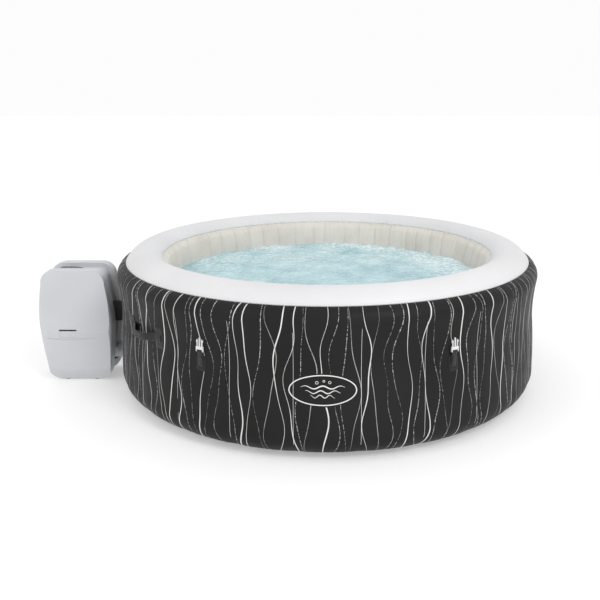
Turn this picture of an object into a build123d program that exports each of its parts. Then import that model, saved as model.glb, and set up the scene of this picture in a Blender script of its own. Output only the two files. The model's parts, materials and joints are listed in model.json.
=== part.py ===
"""Round inflatable hot tub with its free-standing pump and heater unit.

The tub is one ring-shaped air chamber: a printed outer wall, a smooth white top panel and a soft inner
wall, held in shape by radial straps. The pump unit stands on the floor beside it, on the -X side, and
joins it through two union nuts for the water and a push-on duct for the air.

Frame: origin on the floor at the tub's centre, +Z up, the pump unit along -X. Millimetres.
"""

from build123d import *
import os
from math import cos, radians, sin

os.makedirs("parts", exist_ok=True)

# ---------------------------------------------------------------- driving dimensions: tub
SKIN = 2.0
FLOOR_SKIN = 2.0
BASE_R = 769.0
FLOOR_R = 759.0
OUTER_PATH = [
    (BASE_R, 0), (855, 5.3), (915, 15), (963, 50), (980, 120), (977, 220), (965, 360), (968, 480), (977, 550),
    (965, 585), (935, 605),
]
TOP_PATH = [(935, 605), (905, 640), (850, 660), (798, 648), (769, 617)]
INNER_PATH = [
    (769, 617), (755, 580), (746, 520), (741, 300), (745, 120), (748, 60), (FLOOR_R - SKIN, 2 * FLOOR_SKIN),
]
STRAP_COUNT = 24
STRAP_GAP = 0.3
BUBBLE_RING_Z = 60.0
BUBBLE_RING_R = 9.0
BUBBLE_HOLES = 48

# ---------------------------------------------------------------- driving dimensions: pieces on the tub
BUCKLE_ANGLES = [60, 120, 240, 300]
BUCKLE_Z = 402.0
BUCKLE_W = 33.0
BUCKLE_T = 6.0
BUCKLE_BAR_R = 2.0
BUCKLE_STAND = 5.5
WEB_T = 1.2
WEB_W = 24.0
RUNNING = 0.3
HANDLE_ANGLES = [39, 219]
HANDLE_SPAN = 15.5
HANDLE_Z = 405.0
HANDLE_H = 38.0
HANDLE_LIFT = 32.0
HANDLE_T = 3.0
PATCH_T = 1.2
VALVE_ANGLE = 155.0
VALVE_Z = 500.0
DRAIN_ANGLE = 75.0
DRAIN_Z = 112.0
WATER_Y = {"near": -50.0, "far": 50.0}
WATER_Z = 120.0
PIPE_R = 18.0
PIPE_BORE_R = 15.0
AIR_Z = 315.0
AIR_STUB_R = 26.0
AIR_BORE_R = 22.0
FLANGE_R = 36.0
FILTER_R = 55.0

# ---------------------------------------------------------------- driving dimensions: pump unit
PUMP_X = -1190.0
PUMP_MID_Y = -18.0
PUMP_BASE = 4.0
PUMP_H = 545.0
PUMP_SIDE = [
    (88, PUMP_BASE), (132, 21), (150, 60), (165, 175), (174.5, 290), (166, 400), (152.5, 480), (136, 525), (90, PUMP_H),
]
HALF_DEEP = 137.0
CREASE_Z = 252.0
CHANNEL_HALF = 57.5
CHANNEL_DEEP = 20.0
SHELL = 3.0
NUT_R = 24.0
NUT_LEN = 28.0
NUT_X = -1045.0
DUCT_HALF_Y = 32.0
DUCT_HALF_Z = 50.0
LENS_X = (-1282.0, -1168.0)
LENS_W = 78.0
LENS_TOP = 531.0
BUTTON_R = 6.0
GLAND_R = 8.0
GLAND_Z = 76.0
GRILLE_Z = 190.0
BUTTON_SPOTS = [(-1264, -27), (-1264, 27), (-1236, -27), (-1236, 27), (-1186, 0)]

PARTS = {}


def keep(name, shape):
    """Labels a finished piece and writes it."""
    shape.label = name
    export_step(shape, f"parts/{name}.step")
    PARTS[name] = shape


# ---------------------------------------------------------------- shared construction
def shifted(path, distance, first=None, last=None):
    """The path moved sideways by the distance, positive towards its left."""
    moved = []
    for i, (r, z) in enumerate(path):
        r0, z0 = path[i - 1] if i > 0 else (first or path[0])
        r1, z1 = path[i + 1] if i < len(path) - 1 else (last or path[-1])
        run, rise = r1 - r0, z1 - z0
        length = (run * run + rise * rise) ** 0.5
        moved.append((r - distance * rise / length, z + distance * run / length))
    return moved


def arcs_through(path):
    """Arcs end to end along a path whose points are, in turn, an arc's end, its middle and its other end."""
    for k in range(0, len(path) - 2, 2):
        ThreePointArc(path[k], path[k + 1], path[k + 2])


def revolved_skin(path, inner, before=None, after=None):
    """A sheet of revolution between a path and the same path shifted to its left by inner."""
    edge = shifted(path, inner, before, after)
    with BuildPart() as skin:
        with BuildSketch(Plane.XZ):
            with BuildLine():
                arcs_through(path)
                Line(path[-1], edge[-1])
                arcs_through(edge[::-1])
                Line(edge[0], path[0])
            make_face()
        revolve(axis=Axis.Z)
    return skin.part


def chamber_volume(grow):
    """The whole inflated ring as one solid, its outside grown by the given distance."""
    outer = shifted(OUTER_PATH, -grow, None, TOP_PATH[1])
    top = shifted(TOP_PATH, -grow, OUTER_PATH[-2], INNER_PATH[1])
    inner = shifted(INNER_PATH, -grow, TOP_PATH[-2], None)
    with BuildPart() as ring:
        with BuildSketch(Plane.XZ):
            with BuildLine():
                arcs_through(outer)
                arcs_through(top)
                arcs_through(inner)
                Line(inner[-1], outer[0])
            make_face()
        revolve(axis=Axis.Z)
    return ring.part


def wall_plane(angle, radius, height):
    """A plane whose normal points out of the wall, with its local x level and its local y up."""
    a = radians(angle)
    return Plane(
        origin=(radius * cos(a), radius * sin(a), height),
        x_dir=(-sin(a), cos(a), 0),
        z_dir=(cos(a), sin(a), 0),
    )


def x_plane(x, y, z):
    """A plane facing -X, away from the tub, with its local x along -Y and its local y up."""
    return Plane(origin=(x, y, z), x_dir=(0, -1, 0), z_dir=(-1, 0, 0))


CHAMBER = chamber_volume(0)

# ---------------------------------------------------------------- tub: inflated skins
WATER_PORTS = [(y, WATER_Z, PIPE_R) for y in WATER_Y.values()]
AIR_PORT = (0.0, AIR_Z, AIR_STUB_R)
AIR_TUBE_R = 9.0
VALVE_TUBE_R = 16.0
DRAIN_TUBE_R = 14.0


def ports(level, radial, start, reach):
    """The solids that cut the ports: level ones run along X on the pump's side, radial ones at an angle."""
    with BuildPart() as cutters:
        for y, z, radius in level:
            with BuildSketch(x_plane(-start, y, z)):
                Circle(radius)
            extrude(amount=reach)
        for angle, z, radius in radial:
            with BuildSketch(wall_plane(angle, start, z)):
                Circle(radius)
            extrude(amount=reach)
    return cutters.part


def with_ports(skin, cutters):
    """A skin with its pipe and valve holes."""
    with BuildPart() as holed:
        add(skin)
        add(cutters, mode=Mode.SUBTRACT)
    return holed.part


DRAIN_PORT = (DRAIN_ANGLE, DRAIN_Z, DRAIN_TUBE_R)
VALVE_PORT = (VALVE_ANGLE, VALVE_Z, VALVE_TUBE_R)
outer_ports = ports(WATER_PORTS + [AIR_PORT], [VALVE_PORT, DRAIN_PORT], 900, 120)
inner_ports = ports(WATER_PORTS + [(0.0, BUBBLE_RING_Z, AIR_TUBE_R)], [DRAIN_PORT], 690, 90)
keep("outer_wall", with_ports(revolved_skin(OUTER_PATH, SKIN, None, TOP_PATH[1]), outer_ports))
keep("top_panel", revolved_skin(TOP_PATH, SKIN, OUTER_PATH[-2], INNER_PATH[1]))
keep("inner_wall", with_ports(revolved_skin(INNER_PATH, SKIN, TOP_PATH[-2], None), inner_ports))

with BuildPart() as base_sheet:
    Cylinder(BASE_R - 0.3, FLOOR_SKIN, align=(Align.CENTER, Align.CENTER, Align.MIN))
keep("base_sheet", base_sheet.part)

with BuildPart() as floor_liner:
    with BuildSketch(Plane.XY.offset(FLOOR_SKIN)):
        Circle(FLOOR_R - 0.3)
    extrude(amount=FLOOR_SKIN)
keep("floor_liner", floor_liner.part)

# Radial straps welded between the two walls keep the ring from blowing up round.
with BuildPart() as strap_planes:
    for k in range(STRAP_COUNT):
        with BuildSketch(wall_plane((k + 0.5) * 360 / STRAP_COUNT, 700, 320)):
            Rectangle(1.0, 500)
        extrude(amount=320)

with BuildPart() as wall_straps:
    add(chamber_volume(-SKIN - STRAP_GAP))
    add(strap_planes.part, mode=Mode.INTERSECT)
keep("wall_straps", wall_straps.part)


# ---------------------------------------------------------------- tub: bubble ring and its air supply
RING_CENTRE = 747.0 - BUBBLE_RING_R - 1.0

with BuildPart() as bubble_ring:
    with BuildSketch(Plane.XZ):
        with Locations((RING_CENTRE, BUBBLE_RING_Z)):
            Rectangle(2 * BUBBLE_RING_R, 2 * BUBBLE_RING_R)
            Rectangle(2 * BUBBLE_RING_R - 3, 2 * BUBBLE_RING_R - 3, mode=Mode.SUBTRACT)
    revolve(axis=Axis.Z)
    with BuildSketch(Plane.XY.offset(BUBBLE_RING_Z)):
        with PolarLocations(RING_CENTRE, BUBBLE_HOLES):
            Circle(1.5)
    extrude(amount=2 * BUBBLE_RING_R, mode=Mode.SUBTRACT)
    with BuildSketch(x_plane(-RING_CENTRE, 0, BUBBLE_RING_Z)):
        Circle(AIR_TUBE_R - 2)
    extrude(amount=20, mode=Mode.SUBTRACT)
keep("bubble_ring", bubble_ring.part)

AIR_DROP_X = -860.0
with BuildPart() as air_delivery_tube:
    with BuildLine():
        FilletPolyline(
            (-899.5, 0, AIR_Z),
            (AIR_DROP_X, 0, AIR_Z),
            (AIR_DROP_X, 0, BUBBLE_RING_Z),
            (-RING_CENTRE - BUBBLE_RING_R - 0.2, 0, BUBBLE_RING_Z),
            radius=25,
        )
    with BuildSketch(x_plane(-899.5, 0, AIR_Z)):
        Circle(AIR_TUBE_R)
        Circle(AIR_TUBE_R - 2, mode=Mode.SUBTRACT)
    sweep()
keep("air_delivery_tube", air_delivery_tube.part)


# ---------------------------------------------------------------- tub: pipe fittings through the ring
def wall_fitting(y, outside):
    """A water pipe through the ring, with a welded flange on each wall and a spigot for the union nut."""
    with BuildPart() as fitting:
        with BuildSketch(x_plane(-725, y, WATER_Z)):
            Circle(FLANGE_R)
        extrude(amount=30)
        with BuildSketch(x_plane(-960, y, WATER_Z)):
            Circle(FLANGE_R)
        extrude(amount=26)
        add(CHAMBER, mode=Mode.SUBTRACT)
        with BuildSketch(x_plane(-725, y, WATER_Z)):
            Circle(PIPE_R)
        extrude(amount=outside - 725)
        with BuildSketch(x_plane(-700, y, WATER_Z)):
            Circle(PIPE_BORE_R)
        extrude(amount=400, mode=Mode.SUBTRACT)
    return fitting.part


SPIGOT_END = 1036.0
keep("suction_wall_fitting", wall_fitting(WATER_Y["near"], SPIGOT_END))
keep("return_wall_fitting", wall_fitting(WATER_Y["far"], SPIGOT_END))

with BuildPart() as air_wall_fitting:
    with BuildSketch(x_plane(-950, 0, AIR_Z)):
        Ellipse(DUCT_HALF_Y + 6, DUCT_HALF_Z + 6)
    extrude(amount=24)
    add(CHAMBER, mode=Mode.SUBTRACT)
    with BuildSketch(x_plane(-900, 0, AIR_Z)):
        Circle(AIR_STUB_R)
    extrude(amount=106)
    with BuildSketch(x_plane(-890, 0, AIR_Z)):
        Circle(AIR_BORE_R)
    extrude(amount=200, mode=Mode.SUBTRACT)
    with BuildSketch(x_plane(-900, 0, AIR_Z)):
        Circle(AIR_STUB_R)
        Circle(AIR_TUBE_R, mode=Mode.SUBTRACT)
    extrude(amount=3)
keep("air_wall_fitting", air_wall_fitting.part)

# ---------------------------------------------------------------- tub: filter and return screen
FILTER_START = -723.0
FILTER_LEN = 112.0
with BuildPart() as filter_housing:
    with BuildSketch(Plane(origin=(FILTER_START, WATER_Y["near"], WATER_Z), x_dir=(0, 1, 0), z_dir=(1, 0, 0))):
        Circle(FILTER_R)
    extrude(amount=FILTER_LEN)
    with BuildSketch(Plane(origin=(FILTER_START + 3, WATER_Y["near"], WATER_Z), x_dir=(0, 1, 0), z_dir=(1, 0, 0))):
        Circle(FILTER_R - 3)
    extrude(amount=FILTER_LEN - 6, mode=Mode.SUBTRACT)
    with BuildSketch(Plane(origin=(FILTER_START - 1, WATER_Y["near"], WATER_Z), x_dir=(0, 1, 0), z_dir=(1, 0, 0))):
        Circle(PIPE_BORE_R)
    extrude(amount=6, mode=Mode.SUBTRACT)
    for k in range(12):
        turn = k * 30.0
        side = Plane(
            origin=(FILTER_START + FILTER_LEN / 2, WATER_Y["near"], WATER_Z),
            x_dir=(1, 0, 0),
            z_dir=(0, cos(radians(turn)), sin(radians(turn))),
        )
        with BuildSketch(side):
            SlotOverall(FILTER_LEN - 34, 9)
        extrude(amount=FILTER_R + 5, mode=Mode.SUBTRACT)
keep("filter_housing", filter_housing.part)

with BuildPart() as filter_cartridge:
    with BuildSketch(Plane(origin=(FILTER_START + 8, WATER_Y["near"], WATER_Z), x_dir=(0, 1, 0), z_dir=(1, 0, 0))):
        Circle(FILTER_R - 8)
        Circle(22, mode=Mode.SUBTRACT)
    extrude(amount=FILTER_LEN - 16)
keep("filter_cartridge", filter_cartridge.part)

with BuildPart() as return_screen:
    with BuildSketch(Plane(origin=(-724.8, WATER_Y["far"], WATER_Z), x_dir=(0, 1, 0), z_dir=(1, 0, 0))):
        Circle(32)
    extrude(amount=14)
    fillet(return_screen.faces().sort_by(Axis.X)[-1].edges(), 9)
    with BuildSketch(Plane(origin=(-725.8, WATER_Y["far"], WATER_Z), x_dir=(0, 1, 0), z_dir=(1, 0, 0))):
        Circle(20)
    extrude(amount=11, mode=Mode.SUBTRACT)
    with BuildSketch(Plane(origin=(-716, WATER_Y["far"], WATER_Z), x_dir=(0, 1, 0), z_dir=(1, 0, 0))):
        with GridLocations(0, 7, 1, 5):
            SlotOverall(26, 3)
    extrude(amount=20, mode=Mode.SUBTRACT)
keep("return_screen", return_screen.part)

# ---------------------------------------------------------------- tub: air valve
with BuildPart() as air_valve_body:
    with BuildSketch(wall_plane(VALVE_ANGLE, 955, VALVE_Z)):
        Circle(31)
    extrude(amount=20)
    add(CHAMBER, mode=Mode.SUBTRACT)
    with BuildSketch(wall_plane(VALVE_ANGLE, 935, VALVE_Z)):
        Circle(VALVE_TUBE_R)
    extrude(amount=50)
    with BuildSketch(wall_plane(VALVE_ANGLE, 938, VALVE_Z)):
        Circle(VALVE_TUBE_R - 3)
    extrude(amount=60, mode=Mode.SUBTRACT)
keep("air_valve_body", air_valve_body.part)


def screw_cap(angle, z, base, radius, bore, depth):
    """A round cap over a collar, with finger grooves round its edge."""
    with BuildPart() as cap:
        with BuildSketch(wall_plane(angle, base, z)):
            Circle(radius)
        extrude(amount=depth)
        with BuildSketch(wall_plane(angle, base, z)):
            with PolarLocations(radius + 1.5, 12):
                Circle(3)
        extrude(amount=depth, mode=Mode.SUBTRACT)
        with BuildSketch(wall_plane(angle, base, z)):
            Circle(bore)
        extrude(amount=depth - 3, mode=Mode.SUBTRACT)
    return cap.part


keep("air_valve_cap", screw_cap(VALVE_ANGLE, VALVE_Z, 976, 23, VALVE_TUBE_R + RUNNING, 14))

# ---------------------------------------------------------------- tub: drain
with BuildPart() as drain_fitting:
    with BuildSketch(wall_plane(DRAIN_ANGLE, 735, DRAIN_Z)):
        Circle(26)
    extrude(amount=25)
    with BuildSketch(wall_plane(DRAIN_ANGLE, 960, DRAIN_Z)):
        Circle(28)
    extrude(amount=24)
    add(CHAMBER, mode=Mode.SUBTRACT)
    with BuildSketch(wall_plane(DRAIN_ANGLE, 735, DRAIN_Z)):
        Circle(DRAIN_TUBE_R)
    extrude(amount=259)
    with BuildSketch(wall_plane(DRAIN_ANGLE, 730, DRAIN_Z)):
        Circle(DRAIN_TUBE_R - 3)
    extrude(amount=300, mode=Mode.SUBTRACT)
keep("drain_fitting", drain_fitting.part)
keep("drain_cap", screw_cap(DRAIN_ANGLE, DRAIN_Z, 986, 21, DRAIN_TUBE_R + RUNNING, 13))

with BuildPart() as drain_stopper:
    with BuildSketch(wall_plane(DRAIN_ANGLE, 730, DRAIN_Z)):
        Circle(18)
    extrude(amount=4.7)
    with BuildSketch(wall_plane(DRAIN_ANGLE, 734, DRAIN_Z)):
        Circle(DRAIN_TUBE_R - 3 - RUNNING)
    extrude(amount=22)
    with BuildSketch(wall_plane(DRAIN_ANGLE, 718, DRAIN_Z)):
        Rectangle(5, 18)
    extrude(amount=12.5)
keep("drain_stopper", drain_stopper.part)

# ---------------------------------------------------------------- tub: carry handles
HANDLE_R = 966.5
PATCH_LAYER = chamber_volume(PATCH_T)


def on_wall(radius, degrees):
    """A point at this radius and this many degrees round from the local middle."""
    return (radius * cos(radians(degrees)), radius * sin(radians(degrees)))


def carry_handle(angle):
    """A band of webbing with both ends flat on the wall and a raised middle for the hand."""
    a = radians(angle)
    half = HANDLE_SPAN / 2
    middle = Plane(origin=(0, 0, HANDLE_Z - HANDLE_H / 2), x_dir=(cos(a), sin(a), 0), z_dir=(0, 0, 1))
    under = [
        on_wall(HANDLE_R - 6, -half),
        on_wall(HANDLE_R + 2, -half + 2.2),
        on_wall(HANDLE_R + HANDLE_LIFT, 0),
        on_wall(HANDLE_R + 2, half - 2.2),
        on_wall(HANDLE_R - 6, half),
    ]
    over = [
        on_wall(HANDLE_R + 3.5, -half),
        on_wall(HANDLE_R + 6.5, -half + 2.2),
        on_wall(HANDLE_R + HANDLE_LIFT + HANDLE_T, 0),
        on_wall(HANDLE_R + 6.5, half - 2.2),
        on_wall(HANDLE_R + 3.5, half),
    ]
    with BuildPart() as handle:
        with BuildSketch(middle):
            with BuildLine():
                Spline(*under)
                Line(under[-1], over[-1])
                Spline(*reversed(over))
                Line(over[0], under[0])
            make_face()
        extrude(amount=HANDLE_H)
        add(PATCH_LAYER, mode=Mode.SUBTRACT)
    return handle.part


for k, angle in enumerate(HANDLE_ANGLES):
    keep(f"carry_handle_{k + 1}", carry_handle(angle))


def wall_patches(spots, width, height, z):
    """Rounded patches of sheet welded flat on the outer wall."""
    with BuildPart() as patches:
        for angle in spots:
            with BuildSketch(wall_plane(angle, 900, z)):
                RectangleRounded(width, height, 10)
            extrude(amount=100)
        add(PATCH_LAYER, mode=Mode.INTERSECT)
        add(CHAMBER, mode=Mode.SUBTRACT)
    return patches.part


HANDLE_ENDS = [a + side * (HANDLE_SPAN / 2 - 0.6) for a in HANDLE_ANGLES for side in (-1, 1)]
keep("handle_patches", wall_patches(HANDLE_ENDS, 50, 88, HANDLE_Z))
keep("buckle_patches", wall_patches(BUCKLE_ANGLES, 46, 62, 352))

# ---------------------------------------------------------------- tub: cover buckles
BUCKLE_R = 966.0 + 1.5 + BUCKLE_STAND


def section_plane(angle):
    """The upright plane through the tub's axis at this angle: local x outwards, local y up."""
    a = radians(angle)
    return Plane(origin=(0, 0, 0), x_dir=(cos(a), sin(a), 0), z_dir=(sin(a), -cos(a), 0))


with BuildPart() as buckle_straps:
    for angle in BUCKLE_ANGLES:
        with BuildSketch(section_plane(angle).offset(-WEB_W / 2)):
            with Locations((BUCKLE_R, BUCKLE_Z)):
                Circle(BUCKLE_BAR_R + RUNNING + WEB_T)
            with Locations((968.8, BUCKLE_Z - 24)):
                Rectangle(2 * WEB_T, 4)
            make_hull()
            with Locations((968.8, BUCKLE_Z - 42)):
                Rectangle(2 * WEB_T, 36)
            with Locations((BUCKLE_R, BUCKLE_Z)):
                Circle(BUCKLE_BAR_R + RUNNING, mode=Mode.SUBTRACT)
            with BuildLine():
                Polyline(
                    (BUCKLE_R - 2.2, BUCKLE_Z - 0.5),
                    (BUCKLE_R + 2.2, BUCKLE_Z - 0.5),
                    (969.3, BUCKLE_Z - 21),
                    (968.9, BUCKLE_Z - 21),
                    close=True,
                )
            make_face(mode=Mode.SUBTRACT)
        extrude(amount=WEB_W)
    add(PATCH_LAYER, mode=Mode.SUBTRACT)
keep("buckle_straps", buckle_straps.part)

with BuildPart() as strap_rivets:
    for angle in BUCKLE_ANGLES:
        with BuildSketch(wall_plane(angle, 970.1, BUCKLE_Z - 33)):
            Circle(6.5)
        extrude(amount=1.6)
keep("strap_rivets", strap_rivets.part)

BUCKLE_LEAN = 3.0


def buckle_plane(angle):
    """A plane in the middle of a buckle: origin on its bar, local y along its prongs."""
    a = radians(angle)
    lean = radians(BUCKLE_LEAN)
    return Plane(
        origin=(BUCKLE_R * cos(a), BUCKLE_R * sin(a), BUCKLE_Z),
        x_dir=(-sin(a), cos(a), 0),
        z_dir=(cos(lean) * cos(a), cos(lean) * sin(a), sin(lean)),
    )


def cover_buckle(angle):
    """The plug half of a side-release buckle: a bar, a base with a webbing slot, a guide and two arms."""
    plane = buckle_plane(angle)
    with BuildPart() as buckle:
        with BuildSketch(plane.offset(-BUCKLE_T / 2)):
            with Locations((0, 8.5)):
                RectangleRounded(BUCKLE_W, 21, 2.5)
            with Locations((0, 1.75)):
                Rectangle(26, 9.5, mode=Mode.SUBTRACT)
        extrude(amount=BUCKLE_T)
        with BuildSketch(plane.offset(-BUCKLE_T / 2 + 0.6)):
            with Locations((0, 36)):
                RectangleRounded(5.5, 36, 2)
            for side in (-1, 1):
                with BuildLine():
                    Polyline(
                        (side * 9.0, 18),
                        (side * 9.0, 42),
                        (side * 11.0, 47),
                        (side * 15.5, 41),
                        (side * 15.5, 36),
                        (side * 13.0, 35),
                        (side * 13.0, 18),
                        close=True,
                    )
                make_face()
        extrude(amount=BUCKLE_T - 1.2)
        with BuildSketch(Plane(origin=plane.origin - plane.x_dir * 13.5, x_dir=plane.y_dir, z_dir=plane.x_dir)):
            Circle(BUCKLE_BAR_R)
        extrude(amount=27)
    return buckle.part


for k, angle in enumerate(BUCKLE_ANGLES):
    keep(f"cover_buckle_{k + 1}", cover_buckle(angle))


# ---------------------------------------------------------------- pump unit: casing
# Each station of a side shell: its depth from the casing's middle, then how far its back, front and top draw in.
STATIONS = [(CHANNEL_HALF, 0, 0, 0), (96, 0, 0, 0), (116, 1.5, 6, 1), (130, 7, 24, 5), (138, 20, 48, 15)]
FACE_PROFILE = [(92, PUMP_BASE - 20), (92, PUMP_BASE), (119, 62), (HALF_DEEP, CREASE_Z), (117, PUMP_H), (117, PUMP_H + 20)]


def level_ends(path, distance):
    """The outline's half, moved in by the distance, with its first and last points kept level."""
    first = (path[0][0] + 1, path[0][1])
    last = (path[-1][0] - 1, path[-1][1])
    ends = [(path[0][0] - 1, path[0][1])] + [(path[-1][0] + 1, path[-1][1])]
    return (
        shifted([ends[0], path[0], first], distance)[1:2]
        + shifted(path, distance)[1:-1]
        + shifted([ends[1], path[-1], last], distance)[1:2]
    )


def casing_outline(depth, inset, back=0.0, front=0.0, top=0.0):
    """The casing's outline at a depth from its middle, moved in all round and further at three edges."""
    path = level_ends(PUMP_SIDE, inset)
    low, high = path[0][1], path[-1][1]
    squeeze = (high - top - low) / (high - low)
    rear = [(x - back, low + (z - low) * squeeze) for x, z in path]
    face = [(-x + front, low + (z - low) * squeeze) for x, z in path]
    with BuildSketch(Plane(origin=(PUMP_X, PUMP_MID_Y + depth, 0), x_dir=(1, 0, 0), z_dir=(0, -1, 0))) as outline:
        with BuildLine():
            arcs_through(rear)
            Line(rear[-1], face[-1])
            arcs_through(face[::-1])
            Line(face[0], rear[0])
        make_face()
    return outline.sketch


def side_block(side, inset):
    """One side of the casing as a solid block: a lofted pillow cut by its upper and lower faces."""
    profile = [(PUMP_MID_Y + side * (d - inset), z) for d, z in FACE_PROFILE]
    inner = PUMP_MID_Y + side * (CHANNEL_HALF - 1)
    with BuildPart() as block:
        for depth, back, front, top in STATIONS:
            add(casing_outline(side * depth, inset, back, front, top))
        loft()
        with BuildSketch(Plane(origin=(PUMP_X - 300, 0, 0), x_dir=(0, 1, 0), z_dir=(1, 0, 0))):
            with BuildLine():
                Polyline((inner, profile[0][1]), *profile, (inner, profile[-1][1]), close=True)
            make_face()
        extrude(amount=600, mode=Mode.INTERSECT)
    return block.part


def grip_cuts(side):
    """The grip slot, the shallow tab under it and the thin curved groove, as solids right through one face."""
    face = Plane(origin=(PUMP_X, PUMP_MID_Y + side * 150 + 40, 0), x_dir=(1, 0, 0), z_dir=(0, -1, 0))
    with BuildPart() as cuts:
        with BuildSketch(face):
            with Locations((-33.5, 242)):
                RectangleRounded(83, 32, 4)
            with BuildLine():
                ThreePointArc((-148, 226), (-28, 219.5), (92, 226))
                ThreePointArc((92, 226), (-28, 213.5), (-148, 226))
            make_face()
        extrude(amount=80)
    return cuts.part


FOOT_X = [PUMP_X - 70, PUMP_X + 70]
FOOT_Y = 74.0


def side_shell(side):
    """One hollow side of the casing, open to the channel through its inner rim."""
    near = PUMP_MID_Y + side * CHANNEL_HALF
    with BuildPart() as hollow:
        add(side_block(side, SHELL))
        with BuildSketch(Plane.XZ.offset(-(near + side * SHELL))):
            Rectangle(4000, 2000)
        extrude(amount=side * 100, mode=Mode.SUBTRACT)
    with BuildPart() as mouth:
        extrude(casing_outline(side * CHANNEL_HALF + 10, CHANNEL_DEEP + SHELL), amount=20)
    with BuildPart() as skin_layer:
        add(side_block(side, 0))
        add(side_block(side, 1.6), mode=Mode.SUBTRACT)
        add(grip_cuts(side), mode=Mode.INTERSECT)
    with BuildPart() as shell:
        add(side_block(side, 0))
        add(hollow.part, mode=Mode.SUBTRACT)
        add(mouth.part, mode=Mode.SUBTRACT)
        add(skin_layer.part, mode=Mode.SUBTRACT)
        with BuildSketch(Plane(origin=(PUMP_X, PUMP_MID_Y + side * 160, 0), x_dir=(1, 0, 0), z_dir=(0, -1, 0))):
            with Locations((-33.5, 262)):
                RectangleRounded(83, 7, 3)
        extrude(amount=side * 60, mode=Mode.SUBTRACT)
        for y in WATER_Y.values():
            with BuildSketch(x_plane(NUT_X + 70, y, WATER_Z)):
                Circle(NUT_R + 3)
            extrude(amount=84, mode=Mode.SUBTRACT)
        for x in FOOT_X:
            with Locations((x, PUMP_MID_Y + side * FOOT_Y, PUMP_BASE)):
                Cylinder(2.3, 20, mode=Mode.SUBTRACT)
    return shell.part


keep("side_shell_near", side_shell(-1))
keep("side_shell_far", side_shell(1))

# The centre shell closes the channel between the side shells and carries every outlet.
CHANNEL_TOP = PUMP_H - CHANNEL_DEEP
with BuildPart() as centre_bore:
    extrude(casing_outline(CHANNEL_HALF + 1, CHANNEL_DEEP + SHELL), amount=2 * CHANNEL_HALF + 2)

with BuildPart() as centre_block:
    extrude(casing_outline(CHANNEL_HALF, CHANNEL_DEEP), amount=2 * CHANNEL_HALF)

with BuildPart() as centre_shell:
    add(centre_block.part)
    add(centre_bore.part, mode=Mode.SUBTRACT)
    with BuildSketch(Plane.XY.offset(450)):
        for x, y in BUTTON_SPOTS:
            with Locations((x, PUMP_MID_Y + y)):
                Circle(3.4)
    extrude(amount=100, mode=Mode.SUBTRACT)
    for y in WATER_Y.values():
        with BuildSketch(x_plane(-1000, y, WATER_Z)):
            Circle(PIPE_R + 0.4)
        extrude(amount=80, mode=Mode.SUBTRACT)
    with BuildSketch(x_plane(-1000, 0, AIR_Z)):
        Circle(AIR_BORE_R)
    extrude(amount=60, mode=Mode.SUBTRACT)
    with BuildSketch(x_plane(-1030, 0, GLAND_Z)):
        Circle(GLAND_R)
    extrude(amount=60, mode=Mode.SUBTRACT)
    with BuildSketch(x_plane(-1300, PUMP_MID_Y, GRILLE_Z)):
        Rectangle(44, 60)
    extrude(amount=60, mode=Mode.SUBTRACT)
keep("centre_shell", centre_shell.part)

with BuildPart() as intake_grille:
    extrude(casing_outline(CHANNEL_HALF, CHANNEL_DEEP - 3), amount=2 * CHANNEL_HALF)
    add(centre_block.part, mode=Mode.SUBTRACT)
    with BuildSketch(x_plane(-1300, PUMP_MID_Y, GRILLE_Z)):
        RectangleRounded(56, 74, 5)
        with GridLocations(0, 9, 1, 6):
            SlotOverall(40, 4, mode=Mode.SUBTRACT)
    extrude(amount=80, mode=Mode.INTERSECT)
keep("intake_grille", intake_grille.part)

with BuildPart() as pump_feet:
    for x in FOOT_X:
        for side in (-1, 1):
            with Locations((x, PUMP_MID_Y + side * FOOT_Y, 0)):
                Cylinder(13, PUMP_BASE, align=(Align.CENTER, Align.CENTER, Align.MIN))
                Cylinder(2.3, 20, mode=Mode.SUBTRACT)
                Cylinder(4.5, 4.4, mode=Mode.SUBTRACT)
keep("pump_feet", pump_feet.part)

with BuildPart() as foot_screws:
    for x in FOOT_X:
        for side in (-1, 1):
            with Locations((x, PUMP_MID_Y + side * FOOT_Y, 0.6)):
                Cylinder(4.2, 1.6, align=(Align.CENTER, Align.CENTER, Align.MIN))
                Cylinder(2.0, 12, align=(Align.CENTER, Align.CENTER, Align.MIN))
keep("foot_screws", foot_screws.part)

# ---------------------------------------------------------------- pump unit: control panel
LENS_MID = (LENS_X[0] + LENS_X[1]) / 2


def lens_outline(inset):
    """The lens seen from above: square with round corners in front, drawn to a blunt point behind."""
    half = LENS_W / 2 - inset
    corners = [
        (LENS_X[0] + inset, half),
        (LENS_X[0] + inset, -half),
        (LENS_X[0] + 66, -half),
        (LENS_X[1] - inset, -13 + inset),
        (LENS_X[1] - inset, 13 - inset),
        (LENS_X[0] + 66, half),
    ]
    with BuildSketch(Plane.XY.offset(CHANNEL_TOP)) as outline:
        with BuildLine():
            Polyline(*[(x, PUMP_MID_Y + y) for x, y in corners], close=True)
        make_face()
        fillet(outline.vertices(), 11 - inset)
    return outline.sketch


with BuildPart() as control_lens:
    extrude(lens_outline(0), amount=LENS_TOP - CHANNEL_TOP)
    extrude(lens_outline(2.5), amount=LENS_TOP - CHANNEL_TOP - 2.5, mode=Mode.SUBTRACT)
    with BuildSketch(Plane.XY.offset(CHANNEL_TOP)):
        for x, y in BUTTON_SPOTS:
            with Locations((x, PUMP_MID_Y + y)):
                Circle(BUTTON_R + RUNNING)
    extrude(amount=20, mode=Mode.SUBTRACT)
keep("control_lens", control_lens.part)

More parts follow.
